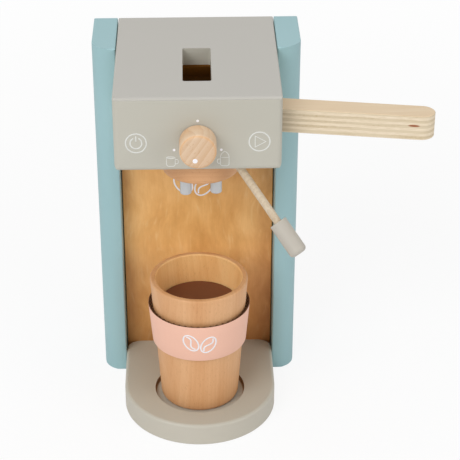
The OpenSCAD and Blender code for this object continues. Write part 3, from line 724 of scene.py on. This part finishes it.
def card(name, tone, second_tone, roughness, bands):
    """Paper fibres, and bands round the cup's axis where flutes press through."""
    material, tree = new_material(name)
    place = in_millimetres(tree, shift=-axis / MM)
    fibres = add(tree, "Mapping", {"Vector": place, "Scale": [1 / size for size in PAPER_FIBRE]})
    fibres = add(tree, "TexNoise", {"Vector": fibres.outputs[0], "Scale": 1, "Detail": 4})
    base = add(tree, "Mix", {FACTOR: fibres.outputs[0], FIRST: colour(tone),
                             SECOND: colour(second_tone)}, data_type="RGBA")
    parts = add(tree, "SeparateXYZ", {0: place}).outputs
    angle = add(tree, "Math", {0: parts["Y"], 1: parts["X"]}, operation="ARCTAN2")
    wave = add(tree, "Math", {0: angle.outputs[0], 1: FLUTES}, operation="MULTIPLY")
    wave = add(tree, "Math", {0: wave.outputs[0]}, operation="SINE")
    height = add(tree, "Math", {0: wave.outputs[0], 1: bands, 2: fibres.outputs[0]},
                 operation="MULTIPLY_ADD")
    bump = add(tree, "Bump", {"Height": height.outputs[0], "Strength": 0.4, "Distance": 0.05 * MM})
    shader = add(tree, "BsdfPrincipled", {"Base Color": base.outputs[RESULT],
                                          "Roughness": roughness, "Normal": bump.outputs[0]})
    add(tree, "OutputMaterial", {"Surface": shader.outputs[0]})
    return material


pink_card = card("pink_coated_card", "#F3C3AD", "#EEBBA4", 0.62, 0.5)
brown_card = card("brown_kraft_card", "#7E5636", "#5C3B22", 0.85, 0.0)

# %% [markdown]
# ## Selecting in code
#
# With no mouse, what an operator works on is chosen in code: everything is deselected, one
# object is made active, and inside edit mode corners are picked by where they are. When a piece
# is done, its place goes into its mesh, so that the object itself sits at the origin as the
# joiner's pieces do.

# %% Modelling helpers
def only(piece):
    """Selects this object alone and makes it active."""
    bpy.ops.object.select_all(action="DESELECT")
    piece.select_set(True)
    bpy.context.view_layer.objects.active = piece


def settle(piece, name):
    """Names the piece and moves its place, turn and size into its mesh."""
    only(piece)
    piece.name = name
    piece.data.name = name
    bpy.ops.object.transform_apply(location=True, rotation=True, scale=True)


def apply_modifiers(piece):
    only(piece)
    for modifier in list(piece.modifiers):
        bpy.ops.object.modifier_apply(modifier=modifier.name)


def close_up(piece):
    """Merges doubled points and turns all faces outwards."""
    only(piece)
    bpy.ops.object.mode_set(mode="EDIT")
    bpy.ops.mesh.select_all(action="SELECT")
    bpy.ops.mesh.remove_doubles(threshold=0.001 * MM)
    bpy.ops.mesh.normals_make_consistent(inside=False)
    bpy.ops.object.mode_set(mode="OBJECT")


def shade(piece, angle=35):
    only(piece)
    bpy.ops.object.shade_smooth_by_angle(angle=math.radians(angle))


def finish_piece(piece, material, body, replaced=()):
    """Gives a modelled piece its material, unless it has some, and its place in the machine."""
    if not piece.data.materials:
        piece.data.materials.append(material)
    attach(piece, body)
    if replaced:
        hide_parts(*replaced)
    print(piece.name, "has", len(piece.data.polygons), "faces")


# %% [markdown]
# ## Card sleeve
#
# A real sleeve is a strip of card bent round the cup, with its ends glued one over the other at
# the back. So the piece is not a closed ring: an upright edge at the back is spun round the
# cup's axis by a little more than a full turn, and its last stretch climbs onto the first by the
# thickness of the card. Spin adds one column of points after another, so a point's number tells
# how far round it is. Solidify gives the strip its thickness, and Bevel its soft cut edges. The
# sheet is pink on its outer face only, so Solidify gives the inner face and the edges a second
# material.

# %% Measure the card
def ring_at(node, top):
    """Inner and outer radius of a round node at its upper or lower end."""
    low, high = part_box(node)
    level = high.z if top else low.z
    ends = [v.co for v in nodes[node].data.vertices if abs(v.co.z - level) < 0.01 * MM]
    radii = [(end - axis).to_2d().length for end in ends]
    return min(radii), max(radii)


card_in_low, card_out_low = ring_at("cup_sleeve", False)
card_out_top = ring_at("cup_sleeve", True)[1]
card_t = card_out_low - card_in_low
print("card is", round(card_t / MM, 2), "mm thick")

# %% An edge to spin
def edge_at_back(radius_low, radius_top, low, high, cuts):
    """An upright edge behind the cup's axis, left in edit mode and selected."""
    bpy.ops.mesh.primitive_plane_add(size=1)
    piece = bpy.context.object
    bpy.ops.object.mode_set(mode="EDIT")
    bpy.ops.mesh.select_all(action="DESELECT")
    for corner in bmesh.from_edit_mesh(piece.data).verts:
        corner.select_set(corner.co.x < 0)
    bpy.ops.mesh.delete(type="VERT")
    lower, upper = bmesh.from_edit_mesh(piece.data).verts
    lower.co = axis + Vector((0, radius_low, low))
    upper.co = axis + Vector((0, radius_top, high))
    bmesh.update_edit_mesh(piece.data)
    bpy.ops.mesh.select_all(action="SELECT")
    bpy.ops.mesh.subdivide(number_cuts=cuts)
    return piece


def push_out(vertex, distance):
    """Moves a point away from the cup's axis."""
    vertex.co += (vertex.co - axis).to_2d().normalized().to_3d() * distance


# %% Pink sleeve
SLEEVE_STEPS = 187  # two degrees each
LAP = 14            # degrees that the ends overlap
CLIMB = 12          # degrees over which the outer end climbs
CARD_EDGE = 0.12    # mm, the soft cut edge
GLUE_T = 0.03       # mm, between the ends that lap

strip = edge_at_back(card_out_low, card_out_top, sleeve_low.z, sleeve_high.z, 2)
column = len(bmesh.from_edit_mesh(strip.data).verts)
bpy.ops.mesh.spin(steps=SLEEVE_STEPS, angle=math.radians(360 + LAP), center=axis,
                  axis=(0, 0, -1), use_auto_merge=False)
bpy.ops.object.mode_set(mode="OBJECT")
for vertex in strip.data.vertices:
    turned = (vertex.index // column) * (360 + LAP) / SLEEVE_STEPS
    climbed = min(max((turned - 360 + CLIMB) / CLIMB, 0), 1)
    push_out(vertex, climbed * climbed * (3 - 2 * climbed) * (card_t + GLUE_T * MM))
solid = strip.modifiers.new("thickness", "SOLIDIFY")
solid.thickness = card_t
solid.offset = -1
for side in (pink_card, brown_card):
    strip.data.materials.append(side)
solid.material_offset = 1
solid.material_offset_rim = 1
soft = strip.modifiers.new("cut_edge", "BEVEL")
soft.width = CARD_EDGE * MM
soft.segments = 2
soft.limit_method = "ANGLE"
close_up(strip)
apply_modifiers(strip)
settle(strip, "card_sleeve")
shade(strip)
finish_piece(strip, pink_card, "sleeve", ["cup_sleeve"])

# %% [markdown]
# ## Fluted liner
#
# Under the pink sheet lies one wave of brown card, as in corrugated board. It can be seen from
# above as a row of loops between the cup and the sleeve. It is one edge spun round in many small
# steps, twelve for each flute, and each column of points is then moved in or out by a sine. The
# wave fills the space that the joiner's liner takes, so it is high at the top, where the sleeve
# stands away from the cup, and low at the bottom.

# %% Brown liner
STEPS_PER_FLUTE = 12
PAPER_T = 0.3  # mm

liner_low, liner_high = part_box("sleeve_liner")
in_low, out_low = ring_at("sleeve_liner", False)
in_top, out_top = ring_at("sleeve_liner", True)
steps = FLUTES * STEPS_PER_FLUTE
liner = edge_at_back((in_low + out_low) / 2, (in_top + out_top) / 2, liner_low.z, liner_high.z, 3)
bpy.ops.mesh.spin(steps=steps, angle=FULL_TURN, center=axis, axis=(0, 0, -1))
bpy.ops.object.mode_set(mode="OBJECT")
for vertex in liner.data.vertices:
    away = vertex.co - axis
    climb = (vertex.co.z - liner_low.z) / (liner_high.z - liner_low.z)
    depth = (out_low - in_low) * (1 - climb) + (out_top - in_top) * climb
    swing = max(depth / 2 - PAPER_T / 2 * MM, 0)
    push_out(vertex, swing * math.sin(FLUTES * math.atan2(away.y, away.x)))
close_up(liner)
solid = liner.modifiers.new("thickness", "SOLIDIFY")
solid.thickness = PAPER_T * MM
solid.offset = 0
apply_modifiers(liner)
settle(liner, "fluted_liner")
shade(liner, 60)
finish_piece(liner, brown_card, "sleeve", ["sleeve_liner"])
print("flutes are", round(FULL_TURN * out_top / FLUTES / MM, 2), "mm apart at the top")

# %% [markdown]
# ## Screen prints
#
# The signs are screen-printed in white. A print is a film of ink, thicker than paint and with a
# soft edge. A pattern in the paint would show no edge in the light, so the film is modelled.
# Each line is drawn as a curve through a few points with a round nib, turned into a mesh and
# pressed flat, which leaves a thin film with rounded edges, half of it in the board.
# The signs on the head are printed thin and the grey paint shows through. The dots, and what is
# printed on wood and card, are printed twice and look whiter. The points of an arc come from a
# formula, those of the other lines are listed.

# %% Ink
INK_T = 0.12  # mm, the whole film, of which half stands proud

thin_ink = plain_finish("thin_white_ink", "#E4E5E0", "#D8D9D3", 0.6, 0.5)
full_ink = plain_finish("full_white_ink", "#F8F6FA", "#F1EFF3", 0.6, 0.5)

# %% Pen
def arc(centre, radius, start, end, step=12):
    """Points in millimetres along an arc, its angles in degrees."""
    count = max(2, round(abs(end - start) / step))
    angles = [math.radians(start + (end - start) * i / count) for i in range(count + 1)]
    return [(centre[0] + radius * math.cos(a), centre[1] + radius * math.sin(a)) for a in angles]


def ring(radius):
    return arc((0, 0), radius, 0, 348), True


def draw(name, strokes, width):
    """Draws strokes, each a list of points and whether it is closed, flat in the XY plane."""
    lines = []
    for points, closed in strokes:
        bpy.ops.curve.primitive_bezier_curve_add()
        line = bpy.context.object
        spline = line.data.splines[0]
        spline.bezier_points.add(len(points) - 2)
        for knot, (x, y) in zip(spline.bezier_points, points):
            knot.co = (x * MM, y * MM, 0)
            knot.handle_left_type = "VECTOR"
            knot.handle_right_type = "VECTOR"
        spline.use_cyclic_u = closed
        lines.append(line)
    only(lines[0])
    for line in lines:
        line.select_set(True)
    bpy.ops.object.join()
    nib = bpy.context.object.data
    nib.bevel_depth = width / 2 * MM
    nib.bevel_resolution = 1
    nib.resolution_u = 1
    nib.use_fill_caps = True
    bpy.ops.object.convert(target="MESH")
    sign = bpy.context.object
    sign.scale.z = INK_T / width
    settle(sign, name)
    return sign


# %% Hang a sign, and a dot
def hang(sign, x, y, z):
    """Stands a flat sign up, facing the front, with its middle at this place in metres."""
    sign.rotation_euler.x = math.radians(90)
    sign.location = (x, y, z)
    settle(sign, sign.name)


def dot(name, x, y, z, radius):
    """A round dot of ink on a face that looks to the front."""
    bpy.ops.mesh.primitive_cylinder_add(vertices=32, radius=radius * MM, depth=INK_T * MM)
    sign = bpy.context.object
    soft = sign.modifiers.new("ink_edge", "BEVEL")
    soft.width = INK_T * 0.45 * MM
    soft.segments = 3
    apply_modifiers(sign)
    sign.name = name
    hang(sign, x, y, z)
    return sign


# %% [markdown]
# ## Signs on the head
#
# Left a power sign, right a start sign, and two kinds of cup beside the knob: a plain one and
# one with foam. Three dots mark the knob's settings, and a larger one on the knob points at
# them. Each sign is drawn round its own middle, in millimetres, and hung on the head's face.

# %% Shapes of the signs
SIGN_R = 6.0  # mm, as is all here but the angles

power = [ring(SIGN_R), (arc((0, 0), 3.4, 115, 425), False), ([(0, 4.5), (0, 1.2)], False)]
start = [ring(SIGN_R), ([(-2.5, 3.5), (-2.5, -3.5), (3.7, 0)], True)]
mug = [(-2.5, 2.7)] + arc((-1.2, -1.4), 1.3, 180, 270, 30) + arc((1.2, -1.4), 1.3, 270, 360, 30)
mug.append((2.5, 2.7))
ear = [(2.5, 1.7)] + arc((3.4, 0.8), 0.9, 90, 0, 30) + arc((3.4, -0.2), 0.9, 0, -90, 30)
ear.append((2.4, -1.1))
brim = [(2.6 * x, 2.9 + 0.6 * y) for x, y in arc((0, 0), 1, 0, 330, 30)]
foam = arc((1.95, 2.7), 4.45, 180, 116) + arc((-1.95, 2.7), 4.45, 64, 0)
small_cup = [(mug, True), (ear, False), (brim, True)]
foam_cup = [(mug, True), ([(-x, y) for x, y in ear], False), (foam, False)]

# %% Print the signs
LINE, FINE_LINE = 0.85, 0.5  # mm
face_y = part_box("head_front_board")[0].y
head_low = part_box("head_bottom_board")[0].z
SIGNS = [("power_sign", power, LINE, -35.6, 18.1), ("start_sign", start, LINE, 35.5, 18.4),
         ("plain_cup_sign", small_cup, FINE_LINE, -15.7, 5.8),
         ("foam_cup_sign", foam_cup, FINE_LINE, 15.5, 5.8)]
for name, strokes, width, x, rise in SIGNS:
    sign = draw(name, strokes, width)
    hang(sign, x * MM, face_y, head_low + rise * MM)
    finish_piece(sign, thin_ink, "machine")

# %% Print the dots
DOT_R, KNOB_MARK_R = 0.8, 1.45
KNOB_MARK = (-1.7, -5.2)  # mm from the knob's axis, across and up
knob_low, knob_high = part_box("knob")
knob_axis_z = (knob_low.z + knob_high.z) / 2
DOTS = [("left_dot", -111, 14.7), ("top_dot", 0, 13.0), ("right_dot", 112, 14.6)]
for name, turn, away in DOTS:  # turn in degrees and distance in mm from the knob's axis
    x = away * MM * math.sin(math.radians(turn))
    z = knob_axis_z + away * MM * math.cos(math.radians(turn))
    finish_piece(dot(name, x, face_y, z, DOT_R), full_ink, "machine")

knob_mark = dot("knob_mark", KNOB_MARK[0] * MM, knob_low.y, knob_axis_z + KNOB_MARK[1] * MM,
                KNOB_MARK_R)
finish_piece(knob_mark, full_ink, "selector")

# %% [markdown]
# ## Coffee beans on the back and the sleeve
#
# The back panel and the sleeve each carry a small white picture, here two plain coffee beans. A
# bean is an ellipse with an S along its length. On the sleeve the picture has to follow the card,
# so it is drawn flat and then wrapped: the distance to the side becomes an angle round the cup,
# and the height picks the radius of the card.

# %% Draw the beans
BEAN = (3.5, 5.3)  # half width and half length in mm
SPLIT = (0.32, 0.86)  # how much of these the split takes
BEAN_TILT = 32
BEAN_PLACE = (4.6, 0.6)  # mm from the middle of the two


def bean(middle, tilt, size):
    """Outline and S-line of a bean, tilted by some degrees."""
    outline = [(BEAN[0] * x, BEAN[1] * y) for x, y in arc((0, 0), 1, 0, 348)]
    split = [(BEAN[0] * SPLIT[0] * math.sin(math.pi * t), BEAN[1] * SPLIT[1] * t)
             for t in [i / 8 for i in range(-8, 9)]]
    c, s = math.cos(math.radians(tilt)), math.sin(math.radians(tilt))

    def place(points):
        return [(middle[0] + size * (c * x - s * y), middle[1] + size * (s * x + c * y))
                for x, y in points]
    return [(place(outline), True), (place(split), False)]


def bean_pair(name, size, width):
    """Two beans that lean towards each other."""
    across, up = BEAN_PLACE[0] * size, BEAN_PLACE[1] * size
    strokes = bean((-across, up), BEAN_TILT, size) + bean((across, -up), -BEAN_TILT, size)
    return draw(name, strokes, width)


# %% Print the beans
BACK_PLACE = (-2.6, 134.9)  # mm, the middle of the picture on the back
back_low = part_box("back_panel")[0]
back_beans = bean_pair("back_beans", 1.45, 1.1)
hang(back_beans, BACK_PLACE[0] * MM, back_low.y, BACK_PLACE[1] * MM)
finish_piece(back_beans, full_ink, "machine")

sleeve_beans = bean_pair("sleeve_beans", 1.2, 1.0)
mid_z = (sleeve_low.z + sleeve_high.z) / 2
for vertex in sleeve_beans.data.vertices:
    side, rise, proud = vertex.co
    climb = (rise + mid_z - sleeve_low.z) / (sleeve_high.z - sleeve_low.z)
    radius = card_out_low * (1 - climb) + card_out_top * climb
    angle = side / radius - FULL_TURN / 4
    vertex.co = axis + Vector((math.cos(angle), math.sin(angle), 0)) * (radius + proud)
    vertex.co.z = mid_z + rise
finish_piece(sleeve_beans, full_ink, "sleeve")
